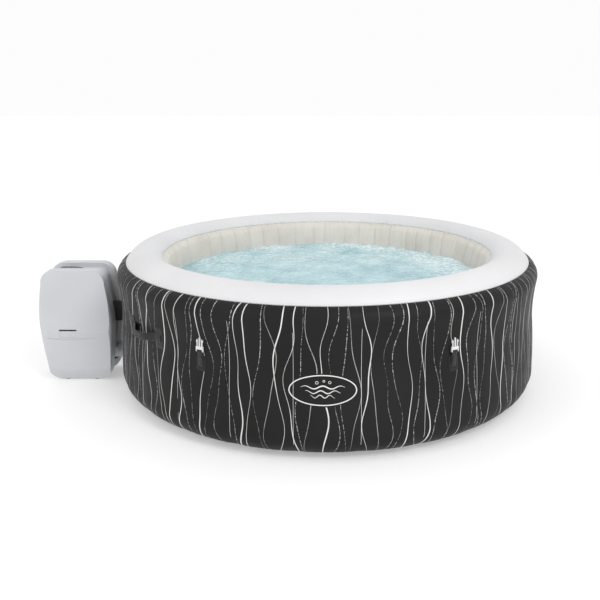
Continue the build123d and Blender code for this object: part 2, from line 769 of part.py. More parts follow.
for k, (x, y) in enumerate(BUTTON_SPOTS):
    with BuildPart() as button:
        with Locations((x, PUMP_MID_Y + y, CHANNEL_TOP + 1.0)):
            Cylinder(BUTTON_R, LENS_TOP + 0.6 - CHANNEL_TOP - 1.0, align=(Align.CENTER, Align.CENTER, Align.MIN))
            Cylinder(BUTTON_R + 1.4, 2.2, align=(Align.CENTER, Align.CENTER, Align.MIN))
        with Locations((x, PUMP_MID_Y + y, 509)):
            Cylinder(3.0, 18, align=(Align.CENTER, Align.CENTER, Align.MIN))
    keep(f"button_{k + 1}", button.part)

with BuildPart() as control_board:
    with Locations((LENS_MID, PUMP_MID_Y, 505)):
        Box(104, 84, 1.6)
    with GridLocations(36, 26, 2, 2):
        with Locations((LENS_MID, PUMP_MID_Y, 502)):
            Box(14, 12, 5)
keep("control_board", control_board.part)


# ---------------------------------------------------------------- pump unit: water circuit
def round_bar(plane, length, radius, bore=0.0):
    """A round bar or tube standing on a plane."""
    with BuildPart() as bar:
        with BuildSketch(plane):
            Circle(radius)
            if bore > 0:
                Circle(bore, mode=Mode.SUBTRACT)
        extrude(amount=length)
    return bar.part


def plus_x(x, y, z):
    """A plane facing +X, towards the tub."""
    return Plane(origin=(x, y, z), x_dir=(0, 1, 0), z_dir=(1, 0, 0))


JOIN_X = -SPIGOT_END - 0.2
VOLUTE_X = (-1150.0, -1106.0)
VOLUTE_R = 44.0
HEATER_X = -1128.0
HEATER_Z = (152.0, 330.0)
near_y, far_y = WATER_Y["near"], WATER_Y["far"]
keep("suction_pipe", round_bar(x_plane(JOIN_X, near_y, WATER_Z), JOIN_X - VOLUTE_X[1], PIPE_R, PIPE_BORE_R))

with BuildPart() as pump_volute:
    add(round_bar(plus_x(VOLUTE_X[0], near_y, WATER_Z), VOLUTE_X[1] - VOLUTE_X[0], VOLUTE_R))
    add(round_bar(plus_x(VOLUTE_X[0] + 3, near_y, WATER_Z), 38, VOLUTE_R - 3), mode=Mode.SUBTRACT)
    add(round_bar(plus_x(VOLUTE_X[1] - 5, near_y, WATER_Z), 10, PIPE_BORE_R), mode=Mode.SUBTRACT)
    add(round_bar(plus_x(VOLUTE_X[0] - 5, near_y, WATER_Z), 10, 4.05), mode=Mode.SUBTRACT)
    add(round_bar(Plane(origin=(HEATER_X, near_y, WATER_Z)), 60, 10), mode=Mode.SUBTRACT)
keep("pump_volute", pump_volute.part)

with BuildPart() as pump_impeller:
    add(round_bar(plus_x(-1144, near_y, WATER_Z), 4, 36))
    add(round_bar(plus_x(-1144, near_y, WATER_Z), 22, 8))
    add(round_bar(plus_x(-1160, near_y, WATER_Z), 20, 4))
    with BuildSketch(plus_x(-1140, near_y, WATER_Z)):
        with PolarLocations(21, 6):
            Rectangle(28, 2.5)
    extrude(amount=16)
keep("pump_impeller", pump_impeller.part)

with BuildPart() as pump_motor:
    add(round_bar(plus_x(-1258, near_y, WATER_Z), 104, 38))
    add(round_bar(plus_x(-1164, near_y, WATER_Z), 20, 4.05), mode=Mode.SUBTRACT)
keep("pump_motor", pump_motor.part)

with BuildPart() as heater_tube:
    add(round_bar(Plane(origin=(HEATER_X, far_y, HEATER_Z[0])), HEATER_Z[1] - HEATER_Z[0], 26))
    add(round_bar(Plane(origin=(HEATER_X, far_y, HEATER_Z[0] + 3)), HEATER_Z[1] - HEATER_Z[0] - 6, 23), mode=Mode.SUBTRACT)
    add(round_bar(Plane(origin=(HEATER_X, far_y, HEATER_Z[0] - 3)), 10, PIPE_BORE_R), mode=Mode.SUBTRACT)
    add(round_bar(Plane(origin=(HEATER_X, far_y, HEATER_Z[1] - 5)), 10, 10), mode=Mode.SUBTRACT)
keep("heater_tube", heater_tube.part)
keep("heater_element", round_bar(Plane(origin=(HEATER_X + 17, far_y, HEATER_Z[0] + 3)), 160, 5))

with BuildPart() as return_pipe:
    with BuildLine():
        FilletPolyline((HEATER_X, far_y, HEATER_Z[0]), (HEATER_X, far_y, WATER_Z), (JOIN_X, far_y, WATER_Z), radius=30)
    with BuildSketch(Plane(origin=(HEATER_X, far_y, HEATER_Z[0]), z_dir=(0, 0, -1))):
        Circle(PIPE_R)
        Circle(PIPE_BORE_R, mode=Mode.SUBTRACT)
    sweep()
keep("return_pipe", return_pipe.part)

LINK_TOP = 372.0
with BuildPart() as link_pipe:
    with BuildLine():
        FilletPolyline(
            (HEATER_X, near_y, WATER_Z + 35),
            (HEATER_X, near_y, LINK_TOP),
            (HEATER_X, far_y, LINK_TOP),
            (HEATER_X, far_y, HEATER_Z[1]),
            radius=30,
        )
    with BuildSketch(Plane(origin=(HEATER_X, near_y, WATER_Z + 35))):
        Circle(12)
        Circle(10, mode=Mode.SUBTRACT)
    sweep()
    add(round_bar(plus_x(VOLUTE_X[0], near_y, WATER_Z), VOLUTE_X[1] - VOLUTE_X[0], VOLUTE_R), mode=Mode.SUBTRACT)
keep("link_pipe", link_pipe.part)


def union_nut(y):
    """A ribbed nut round the joint of the two water pipes."""
    with BuildPart() as nut:
        add(round_bar(plus_x(NUT_X, y, WATER_Z), NUT_LEN, NUT_R - 2))
        with BuildSketch(plus_x(NUT_X + 3, y, WATER_Z)):
            with PolarLocations(NUT_R - 3, 12):
                RectangleRounded(6, 5, 1.2)
        extrude(amount=NUT_LEN - 6)
        add(round_bar(plus_x(NUT_X - 1, y, WATER_Z), NUT_LEN + 2, PIPE_R + RUNNING), mode=Mode.SUBTRACT)
    return nut.part


keep("union_nut_near", union_nut(near_y))
keep("union_nut_far", union_nut(far_y))

# ---------------------------------------------------------------- pump unit: air circuit
BLOWER_X = -1250.0
BLOWER_Z = (400.0, 460.0)
BLOWER_R = 62.0


def blower_plane(z):
    """A level plane on the blower's axis."""
    return Plane(origin=(BLOWER_X, PUMP_MID_Y, z), x_dir=(-1, 0, 0), z_dir=(0, 0, 1))


with BuildPart() as blower_housing:
    add(round_bar(blower_plane(BLOWER_Z[0]), BLOWER_Z[1] - BLOWER_Z[0], BLOWER_R))
    add(round_bar(blower_plane(BLOWER_Z[0] + 3), BLOWER_Z[1] - BLOWER_Z[0] - 6, BLOWER_R - 3), mode=Mode.SUBTRACT)
    add(round_bar(blower_plane(BLOWER_Z[1] - 5), 10, 24), mode=Mode.SUBTRACT)
    add(round_bar(blower_plane(BLOWER_Z[0] - 5), 10, 4.05), mode=Mode.SUBTRACT)
    add(round_bar(plus_x(BLOWER_X, 0, 430), 90, 18), mode=Mode.SUBTRACT)
keep("blower_housing", blower_housing.part)

with BuildPart() as blower_fan:
    add(round_bar(blower_plane(406), 3, 54))
    add(round_bar(blower_plane(406), 30, 10))
    add(round_bar(blower_plane(386), 24, 4))
    with BuildSketch(blower_plane(409)):
        with PolarLocations(46, 20):
            Rectangle(12, 1.5)
    extrude(amount=34)
keep("blower_fan", blower_fan.part)

with BuildPart() as blower_motor:
    add(round_bar(blower_plane(330), 69, 28))
    add(round_bar(blower_plane(382), 20, 4.05), mode=Mode.SUBTRACT)
keep("blower_motor", blower_motor.part)

AIR_PIPE_R = 20.0
with BuildPart() as air_pipe:
    with BuildLine():
        FilletPolyline((-1200, 0, 430), (-1075, 0, 430), (-1075, 0, AIR_Z), (-1039, 0, AIR_Z), radius=30)
    with BuildSketch(plus_x(-1200, 0, 430)):
        Circle(AIR_PIPE_R)
        Circle(AIR_PIPE_R - 2, mode=Mode.SUBTRACT)
    sweep()
    add(round_bar(blower_plane(BLOWER_Z[0]), BLOWER_Z[1] - BLOWER_Z[0], BLOWER_R + 0.1), mode=Mode.SUBTRACT)
    add(centre_shell.part, mode=Mode.SUBTRACT)
keep("air_pipe", air_pipe.part)

# The air duct is a ribbed rubber sleeve, fast to the pump and pushed over the tub's air stub.
DUCT_FACE = PUMP_X + PUMP_SIDE[4][0] - CHANNEL_DEEP
DUCT_END = -982.0
with BuildPart() as air_duct:
    with BuildSketch(x_plane(DUCT_END, 0, AIR_Z)):
        Ellipse(DUCT_HALF_Y, DUCT_HALF_Z)
    extrude(amount=DUCT_END - DUCT_FACE + 4)
    for k in range(4):
        with BuildSketch(x_plane(DUCT_END - 6 - 11 * k, 0, AIR_Z)):
            Ellipse(DUCT_HALF_Y + 1, DUCT_HALF_Z + 1)
            Ellipse(DUCT_HALF_Y - 2.5, DUCT_HALF_Z - 2.5, mode=Mode.SUBTRACT)
        extrude(amount=4, mode=Mode.SUBTRACT)
    add(centre_bore.part, mode=Mode.SUBTRACT)
    add(centre_shell.part, mode=Mode.SUBTRACT)
    with BuildSketch(x_plane(DUCT_END + 5, 0, AIR_Z)):
        Circle(AIR_STUB_R + 0.4)
    extrude(amount=34, mode=Mode.SUBTRACT)
    with BuildSketch(x_plane(DUCT_END + 5, 0, AIR_Z)):
        Circle(AIR_BORE_R - 2)
    extrude(amount=90, mode=Mode.SUBTRACT)
keep("air_duct", air_duct.part)

# ---------------------------------------------------------------- pump unit: supply
with BuildPart() as power_box:
    with Locations((-1288, PUMP_MID_Y, 165)):
        Box(46, 96, 120)
    fillet(power_box.edges(), 4)
keep("power_box", power_box.part)

with BuildPart() as cable_gland:
    add(round_bar(plus_x(-1078, 0, GLAND_Z), 22, GLAND_R))
    add(round_bar(plus_x(-1054, 0, GLAND_Z), 4, GLAND_R + 4))
    add(round_bar(plus_x(-1056, 0, GLAND_Z), 16, GLAND_R - 1))
    add(round_bar(plus_x(-1080, 0, GLAND_Z), 60, 4.2), mode=Mode.SUBTRACT)
keep("cable_gland", cable_gland.part)
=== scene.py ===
"""Looks of the round inflatable hot tub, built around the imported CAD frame. Metres."""

import json
import math
import random

import bpy
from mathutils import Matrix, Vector, noise


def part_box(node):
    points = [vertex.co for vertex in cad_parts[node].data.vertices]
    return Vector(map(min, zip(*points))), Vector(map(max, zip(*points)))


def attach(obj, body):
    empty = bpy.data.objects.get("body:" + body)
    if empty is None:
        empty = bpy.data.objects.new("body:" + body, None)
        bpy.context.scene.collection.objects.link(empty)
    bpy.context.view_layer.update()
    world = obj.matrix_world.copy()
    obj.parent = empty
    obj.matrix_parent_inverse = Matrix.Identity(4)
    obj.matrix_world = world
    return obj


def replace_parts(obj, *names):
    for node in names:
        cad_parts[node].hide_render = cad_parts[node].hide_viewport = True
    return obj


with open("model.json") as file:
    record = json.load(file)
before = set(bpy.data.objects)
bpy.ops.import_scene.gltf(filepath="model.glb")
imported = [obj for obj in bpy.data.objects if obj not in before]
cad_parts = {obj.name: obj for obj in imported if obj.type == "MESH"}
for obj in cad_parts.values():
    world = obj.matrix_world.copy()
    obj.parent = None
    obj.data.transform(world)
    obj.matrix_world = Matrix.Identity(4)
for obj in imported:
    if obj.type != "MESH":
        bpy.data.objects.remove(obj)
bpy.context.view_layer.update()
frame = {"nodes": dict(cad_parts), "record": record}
NODES = frame["nodes"]
random.seed(11)

# ------------------------------------------------------------------ the tub's profile, as in the CAD
BASE_R = 0.769
FLOOR_R = 0.759
OUTER_PATH = [
    (0.769, 0.0), (0.855, 0.0053), (0.915, 0.015), (0.963, 0.05), (0.98, 0.12), (0.977, 0.22),
    (0.965, 0.36), (0.968, 0.48), (0.977, 0.55), (0.965, 0.585), (0.935, 0.605),
]
TOP_PATH = [(0.935, 0.605), (0.905, 0.64), (0.85, 0.66), (0.798, 0.648), (0.769, 0.617)]
INNER_PATH = [
    (0.769, 0.617), (0.755, 0.58), (0.746, 0.52), (0.741, 0.3), (0.745, 0.12), (0.748, 0.06), (0.757, 0.004),
]
SKIN = 0.0015
STRAPS = 24
PLEATS = 52
WATER_Z = 0.497


def arc(a, b, c, steps):
    """Points from a to c on the circle through a, b and c."""
    ax, ay, bx, by, cx, cy = *a, *b, *c
    d = 2 * (ax * (by - cy) + bx * (cy - ay) + cx * (ay - by))
    a2, b2, c2 = ax * ax + ay * ay, bx * bx + by * by, cx * cx + cy * cy
    ux = (a2 * (by - cy) + b2 * (cy - ay) + c2 * (ay - by)) / d
    uy = (a2 * (cx - bx) + b2 * (ax - cx) + c2 * (bx - ax)) / d
    radius = math.hypot(ax - ux, ay - uy)
    start = math.atan2(ay - uy, ax - ux)
    middle = (math.atan2(by - uy, bx - ux) - start + math.pi) % math.tau - math.pi
    sweep = (math.atan2(cy - uy, cx - ux) - start + math.pi) % math.tau - math.pi
    if middle * sweep < 0:
        sweep -= math.copysign(math.tau, sweep)
    return [
        (ux + radius * math.cos(start + sweep * k / steps), uy + radius * math.sin(start + sweep * k / steps))
        for k in range(steps + 1)
    ]


def smooth(x):
    """0 below 0, 1 above 1, and smooth between."""
    x = min(1.0, max(0.0, x))
    return x * x * (3 - 2 * x)


class Profile:
    """A skin's line in the upright plane, with the distance along it and its outward normal."""

    def __init__(self, path, steps):
        self.points = [path[0]]
        for k in range(0, len(path) - 2, 2):
            self.points += arc(path[k], path[k + 1], path[k + 2], steps)[1:]
        self.s = [0.0]
        for p, q in zip(self.points, self.points[1:]):
            self.s.append(self.s[-1] + math.dist(p, q))
        self.length = self.s[-1]
        self.normals = []
        for k in range(len(self.points)):
            p, q = self.points[max(0, k - 1)], self.points[min(len(self.points) - 1, k + 1)]
            length = math.dist(p, q)
            self.normals.append(((q[1] - p[1]) / length, (p[0] - q[0]) / length))

    def at(self, s):
        """The point and the normal at a distance along the line."""
        s = min(self.length, max(0.0, s))
        low, high = 0, len(self.s) - 1
        while high - low > 1:
            middle = (low + high) // 2
            if self.s[middle] <= s:
                low = middle
            else:
                high = middle
        t = (s - self.s[low]) / (self.s[high] - self.s[low])
        (r0, z0), (r1, z1) = self.points[low], self.points[high]
        (a0, b0), (a1, b1) = self.normals[low], self.normals[high]
        return (r0 + (r1 - r0) * t, z0 + (z1 - z0) * t), (a0 + (a1 - a0) * t, b0 + (b1 - b0) * t)

    def s_of_z(self, z):
        """The distance along the line where it reaches a height, above its lowest part."""
        for k in range(1, len(self.points)):
            if self.points[k - 1][1] <= z <= self.points[k][1]:
                t = (z - self.points[k - 1][1]) / (self.points[k][1] - self.points[k - 1][1])
                return self.s[k - 1] + (self.s[k] - self.s[k - 1]) * t
        return self.length


def round_noise(angle, height, around, up, seed=0.0):
    """Noise that closes on itself round the tub: `around` cells per radian, `up` cells per metre."""
    return noise.noise(Vector((math.cos(angle) * around, math.sin(angle) * around, height * up + seed)))


OUTER = Profile(OUTER_PATH, 12)
TOP = Profile(TOP_PATH, 22)
INNER = Profile(INNER_PATH, 22)


def outer_relief(angle, s):
    """How far the outer wall stands out or in: faint dips at the inner straps, puckers at both welds."""
    u = (angle * STRAPS / math.tau + 0.5) % 1.0
    near_strap = min(u, 1 - u)
    waist = smooth(s / 0.25) * smooth((OUTER.length - s) / 0.12)
    dip = -0.0028 * math.exp(-((near_strap / 0.13) ** 2)) * waist
    top, foot = OUTER.length - s, s
    near_welds = 0.0022 * math.exp(-top / 0.028) + 0.0016 * math.exp(-foot / 0.05)
    pucker = round_noise(angle, s, 70, 9) * near_welds
    edges = smooth(top / 0.006) * smooth((foot - 0.10) / 0.03)
    return dip + pucker * edges + 0.0009 * round_noise(angle, s, 5, 5) * waist


# Draws passed over before the first pleat: they set where every later draw falls.
PASSED_DRAWS = 150
for _ in range(PASSED_DRAWS):
    random.random()
PLEAT_AT = [(k + random.uniform(-0.16, 0.16)) * math.tau / PLEATS for k in range(PLEATS)]
PLEAT_FULL = [random.uniform(0.75, 1.2) for _ in range(PLEATS)]


def top_relief(angle, s):
    """Short folds at the inner weld, finer ones at the outer weld, and a slow swell."""
    inner, outer = TOP.length - s, s
    folds = round_noise(angle, 0, 95, 1, 3.0) + 0.6 * round_noise(angle, 0, 190, 1, 7.0)
    lean = round_noise(angle, inner, 40, 25, 5.0)
    reach = 0.017 + 0.012 * (round_noise(angle, 0, 6, 1, 9.0) + 0.5)
    deep = 0.0042 * (folds + 0.5 * lean) * math.exp(-inner / reach)
    rim = 0.0012 * round_noise(angle, 0, 130, 1, 1.0) * math.exp(-outer / 0.012)
    slow = 0.0016 * round_noise(angle, s, 3.2, 5, 2.0) * smooth(s / 0.05) * smooth(inner / 0.05)
    return deep * smooth(inner / 0.004) + rim * smooth(outer / 0.004) + slow


def inner_relief(angle, s):
    """The liner's pleats: each one bellies into the tub between two creases and puckers at its top."""
    a = angle % math.tau
    k = int(a / math.tau * PLEATS)
    for j in (k - 1, k, k + 1):
        left = PLEAT_AT[j % PLEATS] + (j // PLEATS) * math.tau
        right = PLEAT_AT[(j + 1) % PLEATS] + ((j + 1) // PLEATS) * math.tau
        if left <= a < right:
            break
    t = (a - left) / (right - left)
    lean = 0.06 * round_noise(angle, s, 9, 8, 4.0)
    t = min(1.0, max(0.0, t + lean * math.sin(math.pi * t)))
    belly = math.sin(math.pi * t) ** 0.55
    ridge = 0.0022 * math.exp(-((t - 0.12) / 0.05) ** 2) + 0.0014 * math.exp(-((t - 0.86) / 0.05) ** 2)
    body = smooth(s / 0.035) * smooth((INNER.length - s) / 0.03)
    full = PLEAT_FULL[j % PLEATS]
    tilt = 0.0036 * (0.5 - t) * math.sin(math.pi * t)
    out = (0.0108 * full * belly + ridge + tilt) * body
    gather = round_noise(angle, s, 85, 6, 6.0) + 0.5 * round_noise(angle, s, 170, 9, 8.0)
    fan = 0.0058 * gather * math.exp(-s / 0.045) * smooth(s / 0.007)
    drape = 0.0024 * round_noise(angle, s, 22, 4, 2.0) * body
    return out + fan + drape


RELIEF = {id(OUTER): outer_relief, id(TOP): top_relief, id(INNER): inner_relief}


def on_skin(profile, angle, s, lift=0.0):
    """A point on a skin as it looks, lifted along its normal."""
    (r, z), (nr, nz) = profile.at(s)
    d = RELIEF[id(profile)](angle, s) + lift
    r, z = r + nr * d, max(0.0, z + nz * d)
    return (r * math.cos(angle), r * math.sin(angle), z)


# ------------------------------------------------------------------ making meshes
def new_piece(name, points, faces, material, body="tub", slot=None, uvs=None, indices=None):
    """A mesh object with smooth faces, its materials and its body; slot is not used."""
    mesh = bpy.data.meshes.new(name)
    mesh.from_pydata(points, [], faces)
    for m in material if isinstance(material, list) else [material]:
        mesh.materials.append(m)
    mesh.polygons.foreach_set("use_smooth", [True] * len(mesh.polygons))
    if indices:
        mesh.polygons.foreach_set("material_index", indices)
    if uvs:
        layer = mesh.uv_layers.new(name="UVMap")
        for loop in mesh.loops:
            layer.data[loop.index].uv = uvs[loop.vertex_index]
    mesh.validate()
    mesh.update()
    piece = bpy.data.objects.new(name, mesh)
    bpy.context.scene.collection.objects.link(piece)
    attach(piece, body)
    return piece


def skin_piece(name, profile, segments, material, slot):
    """A closed thin shell of revolution over a profile with its relief."""
    rows = len(profile.s)
    points, faces = [], []
    for lift in (0.0, -SKIN):
        for s in profile.s:
            for j in range(segments):
                points.append(on_skin(profile, j * math.tau / segments, s, lift))
    layer = rows * segments
    for i in range(rows - 1):
        for j in range(segments):
            k = (j + 1) % segments
            a, b, c, d = i * segments + j, i * segments + k, (i + 1) * segments + k, (i + 1) * segments + j
            faces.append((a, b, c, d))
            faces.append((layer + d, layer + c, layer + b, layer + a))
    for i, back in ((0, True), (rows - 1, False)):
        for j in range(segments):
            k = (j + 1) % segments
            a, b = i * segments + j, i * segments + k
            face = (a, b, layer + b, layer + a)
            faces.append(face[::-1] if back else face)
    return new_piece(name, points, faces, material, slot=slot)


def disc_piece(name, z, radius, rings, segments, height, thick, material, slot):
    """A closed disc whose upper face is raised by height(x, y)."""
    points, faces = [], []
    for side in (0, 1):
        points.append((0, 0, z + height(0, 0) if side == 0 else z - thick))
        for i in range(1, rings + 1):
            r = radius * i / rings
            for j in range(segments):
                a = j * math.tau / segments
                x, y = r * math.cos(a), r * math.sin(a)
                points.append((x, y, z + height(x, y) if side == 0 else z - thick))
    layer = 1 + rings * segments
    for j in range(segments):
        k = (j + 1) % segments
        faces.append((0, 1 + j, 1 + k))
        faces.append((layer, layer + 1 + k, layer + 1 + j))
        for i in range(rings - 1):
            a, b = 1 + i * segments + j, 1 + i * segments + k
            c, d = b + segments, a + segments
            faces.append((a, d, c, b))
            faces.append((layer + b, layer + c, layer + d, layer + a))
        a, b = 1 + (rings - 1) * segments + j, 1 + (rings - 1) * segments + k
        faces.append((a, layer + a, layer + b, b))
    return new_piece(name, points, faces, material, slot=slot)


class Strips:
    """Thin closed strips that follow a surface, gathered into one mesh."""

    def __init__(self):
        self.points, self.faces, self.indices, self.uvs = [], [], [], []

    def add(self, sections, index=0, closed=False, uvs=None):
        """Each section is its four corners, in order round the strip."""
        start, count = len(self.points), len(sections)
        for k, section in enumerate(sections):
            self.points += section
            self.uvs += uvs[k] if uvs else [(0, 0)] * 4
        last = count if closed else count - 1
        for k in range(last):
            a, b = start + 4 * k, start + 4 * ((k + 1) % count)
            for c in range(4):
                d = (c + 1) % 4
                self.faces.append((a + c, a + d, b + d, b + c))
                self.indices.append(index)
        if not closed:
            end = start + 4 * (count - 1)
            self.faces += [(start + 3, start + 2, start + 1, start), (end, end + 1, end + 2, end + 3)]
            self.indices += [index, index]

    def piece(self, name, material, **more):
        return new_piece(name, self.points, self.faces, material, indices=self.indices, uvs=self.uvs, **more)


def wall_strip(strips, track, index=0, lift=0.00012, thick=0.0004, closed=False):
    """A strip on the outer wall along (angle, s, width) places, its width laid across its track."""
    sections, uvs, run = [], [], 0.0
    for k, (angle, s, width) in enumerate(track):
        before = track[k - 1] if k > 0 or closed else track[k]
        after = track[(k + 1) % len(track)] if k < len(track) - 1 or closed else track[k]
        r = OUTER.at(s)[0][0]
        du, dv = (after[0] - before[0]) * r, after[1] - before[1]
        length = math.hypot(du, dv) or 1.0
        across_u, across_v = dv / length * width / 2, -du / length * width / 2
        corners = []
        for side, up in ((-1, lift), (-1, lift + thick), (1, lift + thick), (1, lift)):
            corners.append(on_skin(OUTER, angle + side * across_u / r, s + side * across_v, up))
        sections.append(corners)
        uvs.append([(-width / 2, run), (-width / 2, run), (width / 2, run), (width / 2, run)])
        run += length / 2
    strips.add(sections, index, closed, uvs)


# ------------------------------------------------------------------ materials
def shader(name, roughness, **sockets):
    """A material with its Principled shader; the named sockets are set on it."""
    material = bpy.data.materials.new(name)
    material.use_nodes = True
    nodes = material.node_tree.nodes
    bsdf = nodes["Principled BSDF"]
    bsdf.inputs["Roughness"].default_value = roughness
    for key, value in sockets.items():
        bsdf.inputs[key.replace("_", " ")].default_value = value
    return material, material.node_tree, bsdf


def node(tree, kind, **settings):
    """A new shader node with its settings."""
    made = tree.nodes.new(kind)
    for key, value in settings.items():
        setattr(made, key, value)
    return made


def coordinates(tree, source="Object"):
    """A socket of texture coordinates."""
    return node(tree, "ShaderNodeTexCoord").outputs[source]


def noise_of(tree, scale, detail=4.0, rough=0.55, source="Object", stretch=None):
    """A noise texture's factor, stretched if asked."""
    texture = node(tree, "ShaderNodeTexNoise")
    texture.inputs["Scale"].default_value = scale
    texture.inputs["Detail"].default_value = detail
    texture.inputs["Roughness"].default_value = rough
    out = coordinates(tree, source)
    if stretch:
        mapping = node(tree, "ShaderNodeMapping")
        mapping.inputs["Scale"].default_value = stretch
        tree.links.new(out, mapping.inputs["Vector"])
        out = mapping.outputs["Vector"]
    tree.links.new(out, texture.inputs["Vector"])
    return texture.outputs["Fac"]


def ramp(tree, factor, stops):
    """A colour ramp over a factor: stops are (place, colour)."""
    made = node(tree, "ShaderNodeValToRGB")
    elements = made.color_ramp.elements
    while len(elements) < len(stops):
        elements.new(0.5)
    for element, (place, colour) in zip(elements, stops):
        element.position = place
        element.color = (*colour, 1) if hasattr(colour, "__len__") else (colour, colour, colour, 1)
    tree.links.new(factor, made.inputs["Fac"])
    return made.outputs["Color"]


def mix(tree, factor, a, b, blend="MIX"):
    """Mixes two colours; each is a socket or a colour."""
    made = node(tree, "ShaderNodeMix", data_type="RGBA", blend_type=blend)
    for index, value in ((0, factor), (6, a), (7, b)):
        if hasattr(value, "is_linked"):
            tree.links.new(value, made.inputs[index])
        elif hasattr(value, "__len__"):
            made.inputs[index].default_value = (*value, 1)
        else:
            made.inputs[index].default_value = value
    return made.outputs[2]


def bump(tree, bsdf, layers):
    """Chained bumps: each layer is (height, strength, distance)."""
    normal = None
    for height, strength, distance in layers:
        made = node(tree, "ShaderNodeBump")
        made.inputs["Strength"].default_value = strength
        made.inputs["Distance"].default_value = distance
        tree.links.new(height, made.inputs["Height"])
        if normal:
            tree.links.new(normal, made.inputs["Normal"])
        normal = made.outputs["Normal"]
    tree.links.new(normal, bsdf.inputs["Normal"])


def surface(name, low, high, rough, grain=900.0, grain_depth=0.00008, cloud=3.0, spread=0.08, **sockets):
    """Sheet or moulded plastic: cloudy colour between two tones, uneven gloss, and a fine grain."""
    material, tree, bsdf = shader(name, rough, **sockets)
    clouds = noise_of(tree, cloud, 5)
    specks = noise_of(tree, grain * 0.35, 3)
    tone = ramp(tree, clouds, [(0.32, low), (0.68, high)])
    speckled = ramp(tree, specks, [(0.35, low), (0.65, high)])
    tree.links.new(mix(tree, 0.10, tone, speckled), bsdf.inputs["Base Color"])
    gloss = ramp(tree, noise_of(tree, cloud * 4, 6), [(0.3, rough - spread), (0.7, rough + spread)])
    tree.links.new(gloss, bsdf.inputs["Roughness"])
    fine, coarse = noise_of(tree, grain, 2), noise_of(tree, cloud * 9, 3)
    bump(tree, bsdf, [(fine, 0.5, grain_depth), (coarse, 0.25, 0.0006)])
    return material


def webbing_material(name, low, high):
    """Woven tape: ribs along it and picks across it from the mesh's own u and v, which are in metres."""
    material, tree, bsdf = shader(name, 0.72, Specular_IOR_Level=0.3)
    uv = coordinates(tree, "UV")
    heights = []
    for axis, pitch in (("X", 0.0016), ("Y", 0.0011)):
        wave = node(tree, "ShaderNodeTexWave", wave_type="BANDS", bands_direction=axis, wave_profile="SIN")
        wave.inputs["Scale"].default_value = 1 / pitch / 3.18
        wave.inputs["Distortion"].default_value = 0.4
        tree.links.new(uv, wave.inputs["Vector"])
        heights.append(wave.outputs["Fac"])
    weave = node(tree, "ShaderNodeMath", operation="MULTIPLY")
    tree.links.new(heights[0], weave.inputs[0])
    tree.links.new(heights[1], weave.inputs[1])
    fuzz = noise_of(tree, 700, 3)
    tone = ramp(tree, weave.outputs[0], [(0.1, low), (0.8, high)])
    fuzzy = ramp(tree, fuzz, [(0.3, low), (0.7, high)])
    tree.links.new(mix(tree, 0.25, tone, fuzzy), bsdf.inputs["Base Color"])
    bsdf.inputs["Sheen Weight"].default_value = 0.15
    bump(tree, bsdf, [(weave.outputs[0], 0.9, 0.0004), (fuzz, 0.3, 0.0001)])
    return material


def brushed(name, low, high, rough, axis=(1, 1, 60)):
    """Metal with fine lines along one direction."""
    material, tree, bsdf = shader(name, rough, Metallic=1.0)
    lines = noise_of(tree, 40, 6, 0.6, stretch=axis)
    tree.links.new(ramp(tree, lines, [(0.3, low), (0.7, high)]), bsdf.inputs["Base Color"])
    tree.links.new(ramp(tree, lines, [(0.3, rough - 0.1), (0.7, rough + 0.1)]), bsdf.inputs["Roughness"])
    bump(tree, bsdf, [(lines, 0.3, 0.0001)])
    return material


def print_material(name, low, high, gaps):
    """Printed ink on sheet: gaps is how much of the line drops out to bare black, from 0 to 1."""
    material, tree, bsdf = shader(name, 0.45, Specular_IOR_Level=0.3)
    tone = ramp(tree, noise_of(tree, 26, 3), [(0.3, low), (0.7, high)])
    if gaps > 0:
        flecks = ramp(tree, noise_of(tree, 190, 2, 0.7), [(gaps - 0.04, 0.025), (gaps + 0.06, 1.0)])
        tone = mix(tree, 1.0, tone, flecks, "MULTIPLY")
    tree.links.new(tone, bsdf.inputs["Base Color"])
    bump(tree, bsdf, [(noise_of(tree, 900, 2), 0.4, 0.00006)])
    return material


def water_material():
    """Churned water: pale teal with cloudy aeration, foam where the bubbles rise, and tiny white beads."""
    material, tree, bsdf = shader("water", 0.14, Specular_IOR_Level=0.5)
    deep, pale, foam = (0.215, 0.44, 0.50), (0.43, 0.655, 0.70), (0.80, 0.90, 0.92)
    clouds = ramp(tree, noise_of(tree, 9, 8, 0.62), [(0.36, 0.0), (0.66, 1.0)])
    tone = mix(tree, clouds, deep, pale)
    mask = node(tree, "ShaderNodeAttribute", attribute_name="foam").outputs["Fac"]
    froth = ramp(tree, noise_of(tree, 46, 9, 0.72), [(0.36, 0.0), (0.58, 1.0)])
    froth_here = node(tree, "ShaderNodeMath", operation="MULTIPLY")
    tree.links.new(froth, froth_here.inputs[0])
    tree.links.new(mask, froth_here.inputs[1])
    tone = mix(tree, froth_here.outputs[0], tone, foam)
    beads = node(tree, "ShaderNodeTexVoronoi", feature="F1")
    beads.inputs["Scale"].default_value = 95
    tree.links.new(coordinates(tree), beads.inputs["Vector"])
    dots = ramp(tree, beads.outputs["Distance"], [(0.16, 1.0), (0.30, 0.0)])
    patchy = ramp(tree, noise_of(tree, 14, 4), [(0.46, 0.0), (0.62, 1.0)])
    tone = mix(tree, mix(tree, 1.0, dots, patchy, "MULTIPLY"), tone, (0.93, 0.97, 0.98))
    tree.links.new(tone, bsdf.inputs["Base Color"])
    bump(tree, bsdf, [(noise_of(tree, 60, 8, 0.65), 0.6, 0.004), (dots, 0.4, 0.0015)])
    return material


